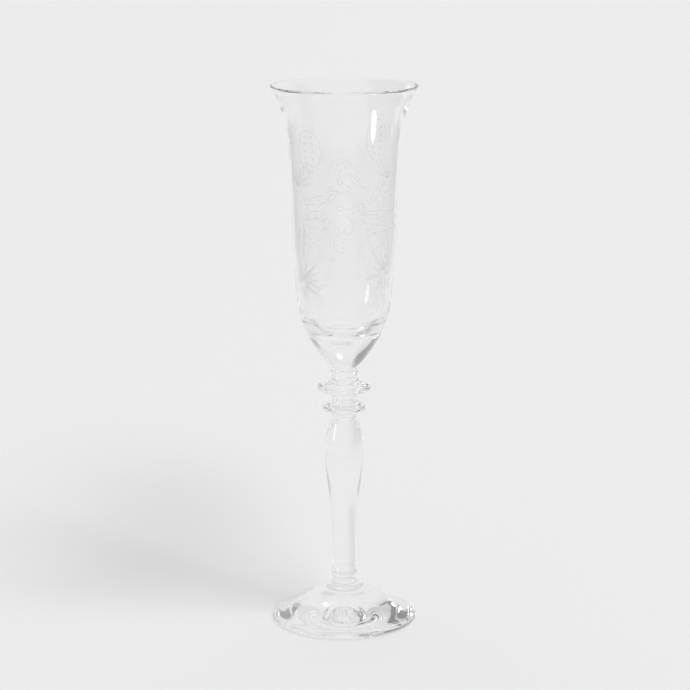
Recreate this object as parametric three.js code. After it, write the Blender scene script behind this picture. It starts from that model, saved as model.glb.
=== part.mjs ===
// A champagne flute in clear glass: a tall bell-shaped bowl, a baluster stem with two rings, a conical foot.
// Eight coaxial pieces stand on one another in the order a glassmaker joins them, and are fused face to face.
// Millimetres, +Z up, origin on the table under the centre of the foot.

import * as THREE from "three";

// Overall sizes
const HEIGHT = 245; // table to lip
const LIP_RADIUS = 32.5; // outer edge of the flared lip
const FOOT_RADIUS = 33; // outer edge of the foot

// Height of each piece from joint to joint. The bowl takes the rest.
const FOOT_HEIGHT = 19.8;
const COLLAR_HEIGHT = 4.6;
const STEM_HEIGHT = 71.2;
const RING_HEIGHT = 6.7; // each of the two rings
const SPOOL_HEIGHT = 3.6;
const NECK_HEIGHT = 5.6;
const BELOW_BOWL = FOOT_HEIGHT + COLLAR_HEIGHT + STEM_HEIGHT + 2 * RING_HEIGHT + SPOOL_HEIGHT + NECK_HEIGHT;
const BOWL_HEIGHT = HEIGHT - BELOW_BOWL;

// Radius of each fused joint, from the foot up: the top of one piece and the bottom of the next
const FOOT_JOINT = 5.5;
const COLLAR_JOINT = 5.2;
const STEM_JOINT = 5.4;
const SPOOL_JOINT = 5.7; // both ends of the spool
const RING_JOINT = 6.3;
const NECK_JOINT = 5.2;

// Foot
const FOOT_EDGE = 1.2; // radius of the rounded edge
const REST_RADIUS = 28; // inner edge of the flat ring that meets the table
const HOLLOW = 3.8; // height of the hollow under the foot, on the axis

// Stem and rings
const SWELL_RADIUS = 8.7; // thickest part of the baluster
const LOWER_RING_RADIUS = 10;
const UPPER_RING_RADIUS = 12.2;
const RING_EDGE = 1.2; // radius of the rounded edge of a ring

// Bowl
const LIP_THICKNESS = 0.8;
const WALL = 1.1; // thickness of the side
const FLOOR = 13.4; // solid glass under the inside of the bowl, on the axis

// Fineness
const TURN_SEGMENTS = 36;
const CURVE_STEPS = 2; // steps between two points of a curve

// A point of an outline: distance from the axis, and height above the bottom of its piece.
const at = (radius, height) => new THREE.Vector2(radius, height);

// A solid of revolution about +Z from an outline that starts and ends on the axis.
function turned(name, outline) {
  const geometry = new THREE.LatheGeometry(outline.getPoints(CURVE_STEPS), TURN_SEGMENTS);
  geometry.rotateX(Math.PI / 2);
  const clearGlass = new THREE.MeshStandardMaterial({ color: 0xf2f5f4, roughness: 0.02, metalness: 0 });
  const mesh = new THREE.Mesh(geometry, clearGlass);
  mesh.name = name;
  return mesh;
}

// A solid between two flat joints, with a smooth side through the given points.
function link(name, height, bottomJoint, side, topJoint) {
  const outline = new THREE.Path();
  outline.moveTo(0, 0);
  outline.lineTo(bottomJoint, 0);
  outline.splineThru([...side, at(topJoint, height)]);
  outline.lineTo(0, height);
  return turned(name, outline);
}

// The foot: a shallow hollow, the flat ring that it rests on, a rounded edge, and a cone with a soft step.
function foot() {
  const edgeCentre = FOOT_RADIUS - FOOT_EDGE;
  const outline = new THREE.Path();
  outline.moveTo(0, HOLLOW);
  outline.splineThru([at(6, 3.4), at(11, 2.5), at(15, 1.9), at(20, 1.4), at(24, 0.8), at(REST_RADIUS, 0)]);
  outline.lineTo(edgeCentre, 0);
  outline.absarc(edgeCentre, FOOT_EDGE, FOOT_EDGE, -Math.PI / 2, 0, false);
  outline.absarc(edgeCentre, FOOT_EDGE, FOOT_EDGE, 0, Math.PI / 3, false);
  outline.splineThru([
    at(26, 5.4),
    at(18.5, 9.6),
    at(13.2, 12.8),
    at(10.4, 14.7),
    at(9, 15.5),
    at(8.3, 16.5),
    at(6.9, 17.6),
    at(FOOT_JOINT, FOOT_HEIGHT),
  ]);
  outline.lineTo(0, FOOT_HEIGHT);
  return turned("foot", outline);
}

// The small bead that seals the stem to the foot.
function footCollar() {
  const side = [at(5.75, 1.2), at(5.6, 3)];
  return link("foot_collar", COLLAR_HEIGHT, FOOT_JOINT, side, COLLAR_JOINT);
}

// The stem: an upside-down baluster, slender at the foot and thickest near its top.
function stem() {
  const side = [
    at(5.05, 5),
    at(5.3, 14),
    at(6.4, 31),
    at(7.7, 41),
    at(SWELL_RADIUS, 52),
    at(8.6, 60.6),
    at(7.2, 66.7),
    at(5.9, 70),
  ];
  return link("stem", STEM_HEIGHT, COLLAR_JOINT, side, STEM_JOINT);
}

// A ring of the stem: thick at its root and thinning to a rounded edge.
function ring(name, ringRadius, edgeHeight, bottomJoint, topJoint) {
  const edgeCentre = ringRadius - RING_EDGE;
  const outline = new THREE.Path();
  outline.moveTo(0, 0);
  outline.lineTo(bottomJoint, 0);
  outline.splineThru([at(bottomJoint + 0.7, 1), at(edgeCentre, edgeHeight - RING_EDGE)]);
  outline.absarc(edgeCentre, edgeHeight, RING_EDGE, -Math.PI / 2, Math.PI / 2, false);
  outline.splineThru([at(topJoint + 0.7, RING_HEIGHT - 0.8), at(topJoint, RING_HEIGHT)]);
  outline.lineTo(0, RING_HEIGHT);
  return turned(name, outline);
}

// The short waist between the two rings.
function ringSpool() {
  return link("ring_spool", SPOOL_HEIGHT, SPOOL_JOINT, [at(5.5, SPOOL_HEIGHT / 2)], SPOOL_JOINT);
}

// The neck under the bowl: a waist below a small bead.
function bowlNeck() {
  const side = [at(5.6, 1.8), at(6.2, 3.6), at(6.1, 4.8)];
  return link("bowl_neck", NECK_HEIGHT, RING_JOINT, side, NECK_JOINT);
}

// The bowl: solid glass at its base, a tall side that widens slowly, and a flared lip with a round edge.
function bowl() {
  const lipEdge = LIP_THICKNESS / 2;
  const side = [at(22, 42), at(22.9, 56), at(23.3, 76), at(24.1, 93)];
  const insideOfSide = side.map(({ x, y }) => at(x - WALL, y)).reverse();
  const outline = new THREE.Path();
  outline.moveTo(0, 0);
  outline.lineTo(NECK_JOINT, 0);
  outline.splineThru([
    at(8.2, 2.9),
    at(12.6, 8.6),
    at(17.1, 16.4),
    at(20.3, 26.5),
    ...side,
    at(25, 105),
    at(27.2, 114.6),
    at(29.9, 121),
    at(LIP_RADIUS, BOWL_HEIGHT - lipEdge),
  ]);
  outline.absarc(LIP_RADIUS - lipEdge, BOWL_HEIGHT - lipEdge, lipEdge, 0, Math.PI, false);
  outline.splineThru([
    at(29, 121.6),
    at(26.2, 115.2),
    at(23.95, 105),
    ...insideOfSide,
    at(19.9, 32),
    at(18.6, 26),
    at(16, 21),
    at(12, 17.8),
    at(7.5, 16.2),
    at(4.2, 14),
    at(0, FLOOR),
  ]);
  return turned("bowl", outline);
}

// Each piece stands on the one before it, from the table up.
const flute = new THREE.Group();
const stack = [
  [foot(), FOOT_HEIGHT],
  [footCollar(), COLLAR_HEIGHT],
  [stem(), STEM_HEIGHT],
  [ring("lower_ring", LOWER_RING_RADIUS, 4.1, STEM_JOINT, SPOOL_JOINT), RING_HEIGHT],
  [ringSpool(), SPOOL_HEIGHT],
  [ring("upper_ring", UPPER_RING_RADIUS, 3.1, SPOOL_JOINT, RING_JOINT), RING_HEIGHT],
  [bowlNeck(), NECK_HEIGHT],
  [bowl(), BOWL_HEIGHT],
];
let level = 0;
for (const [piece, height] of stack) {
  piece.position.z = level;
  flute.add(piece);
  level += height;
}

export default flute;
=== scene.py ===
"""A champagne flute of clear glass with etched leaves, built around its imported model. Metres, +Z up."""

import math
import random

import bpy
import numpy as np
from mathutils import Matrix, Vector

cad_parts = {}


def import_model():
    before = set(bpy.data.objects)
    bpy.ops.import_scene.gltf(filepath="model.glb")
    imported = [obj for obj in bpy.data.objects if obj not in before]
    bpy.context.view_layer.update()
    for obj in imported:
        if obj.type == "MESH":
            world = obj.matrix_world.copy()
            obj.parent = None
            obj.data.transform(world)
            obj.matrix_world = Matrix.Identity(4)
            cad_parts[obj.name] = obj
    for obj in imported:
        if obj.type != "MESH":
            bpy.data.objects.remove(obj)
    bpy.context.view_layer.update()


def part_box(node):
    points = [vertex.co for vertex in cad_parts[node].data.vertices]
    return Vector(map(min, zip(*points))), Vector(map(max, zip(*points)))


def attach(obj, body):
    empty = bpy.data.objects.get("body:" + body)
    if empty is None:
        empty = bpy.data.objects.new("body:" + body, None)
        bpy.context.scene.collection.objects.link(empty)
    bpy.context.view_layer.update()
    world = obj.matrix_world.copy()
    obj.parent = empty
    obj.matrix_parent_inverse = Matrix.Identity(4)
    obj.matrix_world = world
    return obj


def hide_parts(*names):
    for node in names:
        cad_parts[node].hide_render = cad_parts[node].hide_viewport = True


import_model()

MM = 0.001

# ---------------------------------------------------------------- sizes, in millimetres, from the frame

STACK = ["foot", "foot_collar", "stem", "lower_ring", "ring_spool", "upper_ring", "bowl_neck", "bowl"]
BASE = {node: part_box(node)[0].z / MM for node in STACK}  # height of each piece's lower end
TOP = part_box("bowl")[1].z / MM
FOOT_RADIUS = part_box("foot")[1].x / MM
LIP_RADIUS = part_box("bowl")[1].x / MM

LIP_THICKNESS = 0.8
RING_EDGE = 1.2
TURN_SEGMENTS = 160
CURVE_STEPS = 6


# ---------------------------------------------------------------- outline


def raised(node, points):
    """Points of a piece, given as radius and height above its lower end, at their height on the glass."""
    return [(radius, BASE[node] + height) for radius, height in points]


def foot_points():
    """From the axis under the foot, down the hollow, over the resting ring and the edge, and up the cone."""
    hollow = [(0, 3.8), (6, 3.4), (11, 2.5), (15, 1.9), (20, 1.4), (24, 0.8), (26.4, 0.3)]
    rest = [(27.6, 0.12), (28.6, 0.02), (29.8, 0), (31, 0.01)]
    edge = [(FOOT_RADIUS - a, b) for a, b in ((1.1, 0.18), (0.35, 0.62), (0, 1.25), (0.3, 1.9), (0.95, 2.35))]
    cone = [(29.4, 3.7), (26, 5.4), (18.5, 9.6), (13.2, 12.8), (10.4, 14.7)]
    step = [(9, 15.5), (8.3, 16.5), (6.9, 17.6)]
    return hollow + rest + edge + cone + step


def ring_points(edge_radius, edge_height, bottom, top, height):
    """Side of a ring of the stem: a fillet at each root and a rounded edge."""
    core = edge_radius - RING_EDGE
    low = [(bottom + 0.25, 0.5), (bottom + 0.9, 1.15), ((bottom + core) / 2 + 0.5, edge_height / 2 + 0.2)]
    arc = [
        (core + RING_EDGE * math.cos(a), edge_height + RING_EDGE * math.sin(a))
        for a in np.radians([-70, -35, 0, 35, 70])
    ]
    slope = ((top + core) / 2 + 0.6, (edge_height + height) / 2)
    high = [slope, (top + 0.9, height - 0.95), (top + 0.25, height - 0.4)]
    return low + arc + high


def bowl_points():
    """The outside of the bowl, its lip, and its inside down to the axis."""
    outside = [
        (5.75, 0.5),
        (6.8, 1.4),
        (8.3, 2.9),
        (12.6, 8.6),
        (17.1, 16.4),
        (20.3, 26.5),
        (22, 42),
        (22.9, 56),
        (23.3, 76),
        (24.1, 93),
        (25, 105),
        (27.2, 114.6),
        (29.9, 121),
    ]
    lip = LIP_THICKNESS / 2
    height = TOP - BASE["bowl"]
    # The lip is half a circle that is tilted outwards, so that it follows the flare of the wall.
    edge = [
        (LIP_RADIUS - lip + lip * math.cos(a), height - lip + lip * math.sin(a))
        for a in np.radians([-50, -5, 40, 85, 130])
    ]
    inside = [
        (29, 121.6),
        (26.2, 115.2),
        (23.95, 105),
        (23.05, 93),
        (22.25, 76),
        (21.8, 56),
        (20.9, 42),
        (19.9, 32),
        (18.6, 26),
        (16, 21),
        (12, 17.8),
        (7.5, 16.2),
        (5.6, 15.3),
        (4.2, 14),
        (2, 13.4),
        (0, 13.4),
    ]
    return outside + edge + inside


def smooth(points, steps):
    """A cubic spline through the points, with the same number of steps between each two."""
    p = np.array(points, float)
    gaps = np.linalg.norm(np.diff(p, axis=0), axis=1)
    count = len(p)
    system = np.zeros((count, count))
    right = np.zeros((count, 2))
    system[0, 0] = system[-1, -1] = 1
    for i in range(1, count - 1):
        system[i, i - 1 : i + 2] = gaps[i - 1], 2 * (gaps[i - 1] + gaps[i]), gaps[i]
        right[i] = 6 * ((p[i + 1] - p[i]) / gaps[i] - (p[i] - p[i - 1]) / gaps[i - 1])
    bend = np.linalg.solve(system, right)
    out = []
    for i, gap in enumerate(gaps):
        for t in np.arange(steps) / steps:
            a, b = (1 - t) * gap, t * gap
            out.append(
                (bend[i] * a**3 + bend[i + 1] * b**3) / (6 * gap)
                + (p[i] / gap - bend[i] * gap / 6) * a
                + (p[i + 1] / gap - bend[i + 1] * gap / 6) * b
            )
    out.append(p[-1])
    return np.array(out)


JOINT_RADIUS = {
    "foot_collar": 5.5,
    "stem": 5.2,
    "lower_ring": 5.4,
    "ring_spool": 5.7,
    "upper_ring": 5.7,
    "bowl_neck": 6.3,
    "bowl": 5.2,
}  # of the joint at each piece's lower end


def sides():
    """The side points of each piece between its joints, from the foot up."""
    slender = [(5.05, 3), (5.1, 8), (5.3, 14), (5.8, 22), (6.4, 31)]
    swell = [(7.7, 41), (8.7, 52), (8.6, 60.6), (7.2, 66.7), (5.9, 70)]
    neck = [(5.8, 1.1), (5.6, 2), (5.9, 3), (6.2, 3.8), (6.15, 4.6), (5.6, 5.25)]
    return {
        "foot": raised("foot", foot_points()),
        "foot_collar": raised("foot_collar", [(5.7, 1.1), (5.75, 2.2), (5.5, 3.5)]),
        "stem": raised("stem", slender + swell),
        "lower_ring": raised("lower_ring", ring_points(10, 4.1, 5.4, 5.7, 6.7)),
        "ring_spool": raised("ring_spool", [(5.5, 1.8)]),
        "upper_ring": raised("upper_ring", ring_points(12.2, 3.1, 5.7, 6.3, 6.7)),
        "bowl_neck": raised("bowl_neck", neck),
        "bowl": raised("bowl", bowl_points()),
    }


def outlines():
    """The outline of each piece in metres, cut at the joints from one smooth curve from axis to axis."""
    points, ends = [], {}
    for node, side in sides().items():
        if node in JOINT_RADIUS:
            ends[node] = len(points)
            points.append((JOINT_RADIUS[node], BASE[node]))
        points += side
    first, last = points[1], points[-2]
    mirrored = [(-first[0], first[1])] + points + [(-last[0], last[1])]
    curve = smooth(mirrored, CURVE_STEPS)[CURVE_STEPS:-CURVE_STEPS] * MM
    cuts = [0] + [ends[node] * CURVE_STEPS for node in STACK[1:]] + [len(curve) - 1]
    return {node: curve[cuts[i] : cuts[i + 1] + 1] for i, node in enumerate(STACK)}


# ---------------------------------------------------------------- materials


def new_material(name):
    material = bpy.data.materials.new(name)
    material.use_nodes = True
    return material, material.node_tree.nodes, material.node_tree.links


def clear_glass(name, face_on, edge_on):
    """Colourless glass with the faint waves of its making.

    A lamp's light goes straight through it, dimmed more where it meets the glass edge-on.
    """
    material, nodes, links = new_material(name)
    glass = nodes["Principled BSDF"]
    where = nodes.new("ShaderNodeTexCoord")
    wave = nodes.new("ShaderNodeTexNoise")
    wave.inputs["Scale"].default_value = 70
    wave.inputs["Detail"].default_value = 1
    links.new(where.outputs["Object"], wave.inputs["Vector"])
    clarity = nodes.new("ShaderNodeMapRange")
    clarity.inputs["To Min"].default_value = 0.985
    clarity.inputs["To Max"].default_value = 0.995
    links.new(wave.outputs["Fac"], clarity.inputs["Value"])
    links.new(clarity.outputs["Result"], glass.inputs["Base Color"])
    relief = nodes.new("ShaderNodeBump")
    relief.inputs["Strength"].default_value = 0.15
    relief.inputs["Distance"].default_value = 0.0001
    links.new(wave.outputs["Fac"], relief.inputs["Height"])
    links.new(relief.outputs["Normal"], glass.inputs["Normal"])
    glass.inputs["Transmission Weight"].default_value = 1
    glass.inputs["IOR"].default_value = 1.51
    glass.inputs["Roughness"].default_value = 0
    lamp_light = nodes.new("ShaderNodeBsdfTransparent")
    tilt = nodes.new("ShaderNodeLayerWeight")
    passed = nodes.new("ShaderNodeMapRange")
    links.new(tilt.outputs["Facing"], passed.inputs["Value"])
    passed.inputs["To Min"].default_value = face_on
    passed.inputs["To Max"].default_value = edge_on
    links.new(passed.outputs["Result"], lamp_light.inputs["Color"])
    path = nodes.new("ShaderNodeLightPath")
    either = nodes.new("ShaderNodeMath")
    either.operation = "MAXIMUM"
    links.new(path.outputs["Is Shadow Ray"], either.inputs[0])
    links.new(path.outputs["Is Diffuse Ray"], either.inputs[1])
    mix = nodes.new("ShaderNodeMixShader")
    links.new(either.outputs[0], mix.inputs["Fac"])
    links.new(glass.outputs["BSDF"], mix.inputs[1])
    links.new(lamp_light.outputs["BSDF"], mix.inputs[2])
    links.new(mix.outputs["Shader"], nodes["Material Output"].inputs["Surface"])
    return material


def fused_joint():
    """The face where two pieces are fused: light crosses it unchanged."""
    material, nodes, _ = new_material("fused_joint")
    glass = nodes["Principled BSDF"]
    glass.inputs["Alpha"].default_value = 0
    glass.inputs["Specular IOR Level"].default_value = 0
    return material


# ---------------------------------------------------------------- pieces


def turned(name, outline, materials):
    """A closed round solid from an outline. An end of the outline off the axis is a flat joint face."""
    rings = [p for p in outline if p[0] > 1e-7]
    turn = np.linspace(0, 2 * np.pi, TURN_SEGMENTS, endpoint=False)
    verts = [(r * math.cos(a), r * math.sin(a), z) for r, z in rings for a in turn]
    faces = []
    for i in range(len(rings) - 1):
        for j in range(TURN_SEGMENTS):
            k = (j + 1) % TURN_SEGMENTS
            faces.append(
                (
                    i * TURN_SEGMENTS + j,
                    i * TURN_SEGMENTS + k,
                    (i + 1) * TURN_SEGMENTS + k,
                    (i + 1) * TURN_SEGMENTS + j,
                )
            )
    side_faces = len(faces)
    low, high = len(verts), len(verts) + 1
    verts += [(0, 0, outline[0][1]), (0, 0, outline[-1][1])]
    last = (len(rings) - 1) * TURN_SEGMENTS
    for j in range(TURN_SEGMENTS):
        k = (j + 1) % TURN_SEGMENTS
        faces.append((low, k, j))
        faces.append((high, last + j, last + k))
    mesh = bpy.data.meshes.new(name)
    mesh.from_pydata(verts, [], faces)
    for material in materials:
        mesh.materials.append(material)
    mesh.shade_smooth()
    piece = bpy.data.objects.new(name, mesh)
    bpy.context.collection.objects.link(piece)
    joint_at = {0: outline[0][0] > 1e-7, 1: outline[-1][0] > 1e-7}
    for n in range(side_faces, len(faces)):
        if joint_at[(n - side_faces) % 2]:
            mesh.polygons[n].material_index = 1
    mesh.set_sharp_from_angle(angle=math.radians(40))
    return piece


blown = clear_glass("blown_glass", 0.77, 0.33)
pressed = clear_glass("pressed_glass", 0.97, 0.86)
joint = fused_joint()
for node, outline in outlines().items():
    piece = turned(f"{node}_glass", outline, [pressed if node == "foot" else blown, joint])
    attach(piece, "root")
    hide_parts(node)


# ---------------------------------------------------------------- etched pattern
# A flat drawing in millimetres, across to the right and up the glass, that is then wrapped round the bowl.

WRAP_RADIUS = 23
PROUD, SKIN = 0.03, 0.008  # outer and inner face of the frosted layer, above the glass
chance = random.Random(7)
drawing = []


def beside(line, distances):
    """A line shifted sideways, to its left, by a distance at each of its points."""
    along = np.gradient(line, axis=0)
    along /= np.linalg.norm(along, axis=1)[:, None] + 1e-9
    return line + np.column_stack([-along[:, 1], along[:, 0]]) * np.asarray(distances, float)[:, None]


def strip(centre_line, half_widths):
    """A band along a line."""
    half = np.maximum(np.array(half_widths, float), 0.015)
    line = np.array(centre_line, float)
    drawing.append((beside(line, half), beside(line, -half)))


def arc_line(x, y, heading, length, bend, count):
    """A line that starts at a point and turns steadily by the bend, in degrees."""
    points = [(x, y)]
    step = length / (count - 1)
    for i in range(count - 1):
        a = math.radians(heading + bend * (i + 0.5) / (count - 1))
        points.append((points[-1][0] + step * math.cos(a), points[-1][1] + step * math.sin(a)))
    return points


def leaf(x, y, heading, length, width, bend=0.0):
    """A pointed leaf drawn as an outline, with a vein that stops short of its tip."""
    line = np.array(arc_line(x, y, heading, length, bend, 13))
    t = np.linspace(0, 1, 13)
    half = width / 2 * np.sin(np.pi * t**0.75) * (1 - 0.35 * t)
    for side in (-1, 1):
        strip(beside(line, side * half), 0.12 + 0.14 * np.sin(np.pi * t))
    strip(line[:10], np.linspace(0.2, 0.06, 10))


def blade(x, y, heading, length, width, bend=0.0):
    """A narrow leaf filled from edge to edge."""
    t = np.linspace(0, 1, 11)
    strip(arc_line(x, y, heading, length, bend, 11), width / 2 * np.sin(np.pi * t**0.6) * (1 - 0.4 * t))


def scroll(x, y, heading, size, turn, width):
    """A curl drawn as two lines, that narrows as it winds inwards and ends in a bud."""
    points, a, px, py = [], math.radians(heading), x, y
    for i in range(30):
        points.append((px, py))
        reach = size * (1 - i / 32) * 0.105
        px, py = px + reach * math.cos(a), py + reach * math.sin(a)
        a += turn * (0.09 + 0.27 * i / 30)
    line = np.array(points)
    half = np.linspace(width, width * 0.35, 30) / 2
    for side in (-1, 1):
        strip(beside(line, side * half), [0.14] * 30)
    dot(px, py, width * 0.6)


def dot(x, y, radius):
    a = np.linspace(0, math.pi, 7)
    strip([(x - radius * math.cos(v), y) for v in a], radius * np.sin(a))


def hoop(x, y, across, up, width):
    a = np.linspace(0, 2 * math.pi, 29)
    strip([(x + across * math.cos(v), y + up * math.sin(v)) for v in a], [width / 2] * 29)


def ribbon(x, y, heading, length, bend, width):
    """A twisted ribbon: two lines that meet at each twist."""
    line = np.array(arc_line(x, y, heading, length, bend, 25))
    half = width / 2 * (0.55 + 0.45 * np.cos(np.linspace(0, 3 * np.pi, 25)))
    for side in (-1, 1):
        strip(beside(line, side * half), [0.19] * 25)


def branch(x, y, heading, length, bend, leaf_length, leaf_width, pairs):
    """A stalk with pairs of leaves that get smaller towards its end, and one leaf at its tip."""
    line = arc_line(x, y, heading, length, bend, 4 * pairs + 1)
    strip(line, np.linspace(0.26, 0.12, len(line)))
    for i in range(1, pairs + 1):
        way = heading + bend * i / pairs
        px, py = line[4 * i]
        scale = (1 - 0.45 * i / pairs) * chance.uniform(0.9, 1.1)
        if i == pairs:
            leaf(px, py, way, leaf_length * scale * 1.2, leaf_width * scale)
            continue
        for side in (-1, 1):
            spread = side * chance.uniform(36, 50)
            leaf(px, py, way + spread, leaf_length * scale, leaf_width * scale, -side * 18)


def spiky_plant(x, y, leaves):
    """Long narrow leaves that spread from one foot, each given as its heading and its length."""
    for way, reach in leaves:
        droop = -math.copysign(chance.uniform(12, 26), math.cos(math.radians(way)))
        a = math.radians(way)
        blade(x + 1.2 * math.cos(a), y + 1.2 * math.sin(a), way, reach - 1.2, 2.4, droop)


def blossom(x, y, radius, petals):
    """An open flower seen face on: rings of a line each, with petals between them and a dotted eye."""
    for share in (1.0, 0.62, 0.3):
        hoop(x, y, radius * share, radius * share, 0.45)
    for i in range(petals):
        way = 360 * i / petals
        a = math.radians(way)
        root = radius * 0.34
        leaf(x + root * math.cos(a), y + root * math.sin(a), way, radius * 0.62, radius * 0.36)
    dot(x, y, radius * 0.12)


def seed_head(x, y, across, up, columns, rows):
    """An upright rounded head with dots in rows."""
    hoop(x, y, across, up, 0.4)
    for i in range(rows):
        level = -0.68 + 1.36 * i / (rows - 1)
        room = across * math.sqrt(1 - level**2) * 0.72
        for j in range(columns):
            dot(x - room + 2 * room * (j + 0.5) / columns, y + level * up, 0.75)


def garden():
    """The planting for half of the way round, about 72 mm wide: tall at both sides and open in the middle.

    Heights are from the joint under the bowl.
    """
    drooping = [(-14, 15), (-60, 12), (-95, 8)]
    rising = [(22, 8), (56, 15), (76, 11), (96, 15), (120, 12), (155, 9)]
    spiky_plant(-22.5, 40, drooping + rising)
    leaf(-21, 53, 89, 25, 3.4, 7)
    leaf(-25, 55, 94, 20, 2.8, -9)
    ribbon(-26, 84, -30, 20, -28, 3.2)
    ribbon(-12, 77, 12, 12, 50, 2)
    for way, reach in ((8, 9), (28, 11), (48, 11), (68, 12), (88, 10), (110, 9), (132, 8)):
        blade(-24, 84, way, reach, 1.3, 10)
    seed_head(-15.5, 100, 5.6, 9.2, 2, 5)
    scroll(-18, 72, -64, 12, 1, 1.1)
    scroll(-8, 64, 220, 11, -1, 1.0)
    scroll(-16, 50, 30, 10, 1, 0.9)

    blossom(21, 85, 5.6, 9)
    leaf(7, 73, -6, 19, 4, 12)
    leaf(9, 66, 4, 17, 3.6, -16)
    scroll(6, 44, 97, 25, -1, 1.5)
    scroll(11, 45, 94, 17, -1, 1.1)
    leaf(23, 44, 97, 16, 3, -8)
    leaf(26.5, 45, 86, 20, 3.4, 8)
    leaf(22, 59, 100, 14, 2.6, 9)
    for x, way, reach in ((20, 99, 12), (23.5, 91, 18), (27, 86, 21), (30.5, 95, 15)):
        blade(x, 47, way, reach, 1.6, 8)
    branch(31, 52, 84, 22, 10, 4.8, 2.2, 4)
    leftward = [(200, 13), (181, 11), (160, 12), (136, 12), (224, 12), (250, 9)]
    spiky_plant(24, 37, leftward + [(106, 10), (70, 10)])
    leaf(19, 31, 172, 10, 2.6, -20)

    scroll(-6, 84, 64, 10, -1, 0.9)
    scroll(7, 86, 118, 10, 1, 0.9)
    scroll(1, 66, 205, 10, 1, 0.9)
    ribbon(-3, 76, -14, 12, 30, 2)
    for _ in range(9):
        hoop(chance.uniform(-10, 13), chance.uniform(42, 104), 1.1, 1.1, 0.34)
    for _ in range(10):
        dot(chance.uniform(-12, 15), chance.uniform(40, 104), chance.uniform(0.3, 0.6))


def frosting():
    """Etched glass: a pale, faintly grainy veil that mostly lets the view through."""
    material, nodes, links = new_material("etched_frost")
    frost = nodes["Principled BSDF"]
    grain = nodes.new("ShaderNodeTexNoise")
    grain.inputs["Scale"].default_value = 2600
    grain.inputs["Detail"].default_value = 3
    where = nodes.new("ShaderNodeTexCoord")
    links.new(where.outputs["Object"], grain.inputs["Vector"])
    tone = nodes.new("ShaderNodeMapRange")
    tone.inputs["To Min"].default_value = 0.6
    tone.inputs["To Max"].default_value = 0.8
    links.new(grain.outputs["Fac"], tone.inputs["Value"])
    links.new(tone.outputs["Result"], frost.inputs["Base Color"])
    pits = nodes.new("ShaderNodeBump")
    pits.inputs["Strength"].default_value = 0.25
    pits.inputs["Distance"].default_value = 0.00002
    links.new(grain.outputs["Fac"], pits.inputs["Height"])
    links.new(pits.outputs["Normal"], frost.inputs["Normal"])
    frost.inputs["Roughness"].default_value = 0.75
    frost.inputs["Alpha"].default_value = 0.045
    return material


def etching(bowl_outline):
    """Wraps the drawing round the bowl twice, as thin closed bands of frost."""
    peak = int(np.argmax(bowl_outline[:, 0]))
    heights, radii = bowl_outline[:peak, 1] / MM, bowl_outline[:peak, 0] / MM
    verts, faces = [], []
    for turn in (0, math.pi):
        drawing.clear()
        garden()
        for left, right in drawing:
            first = len(verts)
            for a, b in zip(left, right):
                for face in (PROUD, SKIN):
                    for across, height in (a, b):
                        up = BASE["bowl"] + height
                        r = np.interp(up, heights, radii) + face
                        angle = turn + across / WRAP_RADIUS
                        verts.append((r * math.sin(angle) * MM, -r * math.cos(angle) * MM, up * MM))
            for i in range(len(left) - 1):
                o = first + 4 * i
                n = o + 4
                faces += [(o, n, n + 1, o + 1), (o + 2, o + 3, n + 3, n + 2)]
                faces += [(o, o + 2, n + 2, n), (o + 1, n + 1, n + 3, o + 3)]
            end = first + 4 * (len(left) - 1)
            faces += [(first, first + 1, first + 3, first + 2), (end, end + 2, end + 3, end + 1)]
    mesh = bpy.data.meshes.new("etched_garden")
    mesh.from_pydata(verts, [], faces)
    mesh.materials.append(frosting())
    piece = bpy.data.objects.new("etched_garden", mesh)
    bpy.context.collection.objects.link(piece)
    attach(piece, "root")


etching(outlines()["bowl"])


# ---------------------------------------------------------------- studio

# Energy, elevation, turn and angular size in degrees: a row at the front right, and a weak one from behind.
LAMPS = ((0.88, 40, 24, 18), (0.76, 47, 42, 20), (1.07, 56, 61, 24), (0.34, 55, 190, 60))
AMBIENT = 0.26  # the room's light on matt surfaces
LENS = 113.4  # mm
CAMERA_PLACE = (0.0004, -0.9515, 0.3458)
CAMERA_PITCH = 12.88  # degrees below level
GLASS_BOUNCES = 200
FROST_LAYERS = 48


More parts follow.
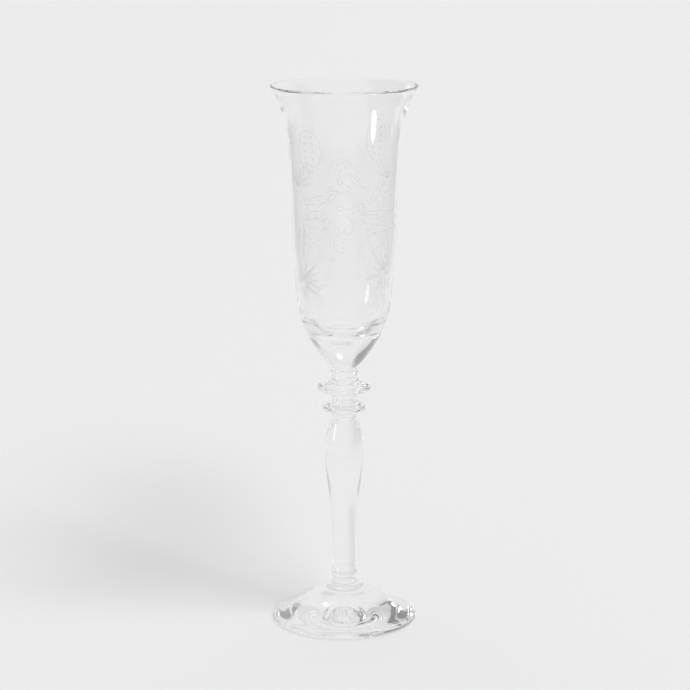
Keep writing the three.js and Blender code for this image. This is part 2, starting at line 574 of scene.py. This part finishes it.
def floor():
    """Pale paper with painted light and shade: a faint painted falloff, a shade brighter to the right, and
    painted shade, grey beyond both sides of a strip that widens with distance.
    """
    mesh = bpy.data.meshes.new("floor")
    half = 12
    corners = [(-half, -half, 0), (half, -half, 0), (half, half, 0), (-half, half, 0)]
    mesh.from_pydata(corners, [], [(0, 1, 2, 3)])
    material, nodes, links = new_material("floor_paper")
    paper = nodes["Principled BSDF"]
    where = nodes.new("ShaderNodeTexCoord")
    across = nodes.new("ShaderNodeSeparateXYZ")
    links.new(where.outputs["Object"], across.inputs["Vector"])
    # Painted falloff of light: the paper's colour rises from 0.85 to 0.86 across 0.4 m, brighter towards the
    # lamps at the right.
    tone = nodes.new("ShaderNodeMapRange")
    tone.inputs["From Min"].default_value = -0.2
    tone.inputs["From Max"].default_value = 0.2
    tone.inputs["To Min"].default_value = 0.85
    tone.inputs["To Max"].default_value = 0.86
    links.new(across.outputs["X"], tone.inputs["Value"])
    # Painted shade: beyond both sides of a strip that widens with distance, the paper turns grey (0.55),
    # standing in for the unlit room there.
    sideways = nodes.new("ShaderNodeMath")
    sideways.operation = "ABSOLUTE"
    links.new(across.outputs["X"], sideways.inputs[0])
    beyond = nodes.new("ShaderNodeMath")
    beyond.operation = "MULTIPLY_ADD"
    links.new(across.outputs["Y"], beyond.inputs[0])
    beyond.inputs[1].default_value = -0.17
    links.new(sideways.outputs[0], beyond.inputs[2])
    edge = nodes.new("ShaderNodeMapRange")
    edge.interpolation_type = "SMOOTHSTEP"
    edge.inputs["From Min"].default_value = 0.33
    edge.inputs["From Max"].default_value = 0.58
    links.new(beyond.outputs[0], edge.inputs["Value"])
    # The paper's colour with the painted shade mixed in.
    paper_with_painted_shade = nodes.new("ShaderNodeMix")
    links.new(edge.outputs["Result"], paper_with_painted_shade.inputs["Factor"])
    links.new(tone.outputs["Result"], paper_with_painted_shade.inputs["A"])
    paper_with_painted_shade.inputs["B"].default_value = 0.55
    links.new(paper_with_painted_shade.outputs["Result"], paper.inputs["Base Color"])
    paper.inputs["Roughness"].default_value = 0.9
    paper.inputs["Specular IOR Level"].default_value = 0.1
    mesh.materials.append(material)
    sheet = bpy.data.objects.new("floor", mesh)
    sheet.location.z = -0.0001
    bpy.context.collection.objects.link(sheet)


def heading(azimuth, elevation):
    """A direction out from the glass. Azimuth 0 is towards the camera, and grows to the right."""
    a, e = math.radians(azimuth), math.radians(elevation)
    return math.sin(a) * math.cos(e), -math.cos(a) * math.cos(e), math.sin(e)


def world():
    """A pale room, darker at the sides, with a tall window at the front left."""
    sky = bpy.data.worlds.new("studio")
    bpy.context.scene.world = sky
    sky.use_nodes = True
    nodes, links = sky.node_tree.nodes, sky.node_tree.links
    direction = nodes.new("ShaderNodeTexCoord").outputs["Generated"]

    def zone(towards, stretch, edge, middle, level, inside):
        """Blends a level towards another inside an oval patch of the room around a heading."""
        offset = nodes.new("ShaderNodeVectorMath")
        offset.operation = "SUBTRACT"
        links.new(direction, offset.inputs[0])
        offset.inputs[1].default_value = heading(*towards)
        scaled = nodes.new("ShaderNodeVectorMath")
        scaled.operation = "MULTIPLY"
        links.new(offset.outputs[0], scaled.inputs[0])
        scaled.inputs[1].default_value = (1, 1, stretch)
        length = nodes.new("ShaderNodeVectorMath")
        length.operation = "LENGTH"
        links.new(scaled.outputs[0], length.inputs[0])
        blend = nodes.new("ShaderNodeMapRange")
        blend.interpolation_type = "SMOOTHERSTEP"
        links.new(length.outputs["Value"], blend.inputs["Value"])
        blend.inputs["From Min"].default_value = edge
        blend.inputs["From Max"].default_value = middle
        mix = nodes.new("ShaderNodeMix")
        links.new(blend.outputs["Result"], mix.inputs["Factor"])
        if isinstance(level, float):
            mix.inputs["A"].default_value = level
        else:
            links.new(level, mix.inputs["A"])
        mix.inputs["B"].default_value = inside
        return mix.outputs["Result"]

    level = 0.83
    level = zone((0, 0), 0.6, 1.5, 0.5, level, 0.78)  # the camera's side
    level = zone((-90, 25), 0.8, 0.78, 0.5, level, 0.2)  # left
    level = zone((82, 18), 0.9, 0.42, 0.2, level, 0.3)  # right
    level = zone((-66, 10), 0.55, 0.12, 0.095, level, 5.0)  # window
    level = zone((-140, 8), 0.3, 0.06, 0.03, level, 2.0)  # a slit of light at the back left
    level = zone((172, 36), 1.0, 0.12, 0.0, level, 1.3)  # a lamp far behind
    path = nodes.new("ShaderNodeLightPath")
    seen = path.outputs["Is Camera Ray"]
    for kind in ("Is Glossy Ray", "Is Transmission Ray"):
        both = nodes.new("ShaderNodeMath")
        both.operation = "MAXIMUM"
        links.new(seen, both.inputs[0])
        links.new(path.outputs[kind], both.inputs[1])
        seen = both.outputs[0]
    mix = nodes.new("ShaderNodeMix")
    links.new(seen, mix.inputs["Factor"])
    mix.inputs["A"].default_value = AMBIENT
    links.new(level, mix.inputs["B"])
    links.new(mix.outputs["Result"], nodes["Background"].inputs["Strength"])
    nodes["Background"].inputs["Color"].default_value = (1, 1, 1, 1)


def key():
    """Soft lights that reach the paper and the frost. The glass doesn't mirror them."""
    for energy, elevation, turn, spread in LAMPS:
        light = bpy.data.lights.new("key", "SUN")
        light.energy = energy
        light.angle = math.radians(spread)
        lamp = bpy.data.objects.new("key", light)
        lamp.rotation_euler = (math.radians(90 - elevation), 0, math.radians(turn))
        for kind in ("camera", "glossy", "transmission"):
            setattr(lamp, "visible_" + kind, False)
        bpy.context.collection.objects.link(lamp)


def camera():
    lens = bpy.data.cameras.new("camera")
    lens.lens = LENS
    viewer = bpy.data.objects.new("camera", lens)
    viewer.location = CAMERA_PLACE
    viewer.rotation_euler = (math.radians(90 - CAMERA_PITCH), 0, 0)
    bpy.context.collection.objects.link(viewer)
    bpy.context.scene.camera = viewer


floor()
world()
camera()
key()
scene = bpy.context.scene
scene.view_settings.view_transform = "Standard"
scene.cycles.max_bounces = GLASS_BOUNCES
scene.cycles.transmission_bounces = GLASS_BOUNCES
scene.cycles.glossy_bounces = GLASS_BOUNCES
scene.cycles.transparent_max_bounces = FROST_LAYERS
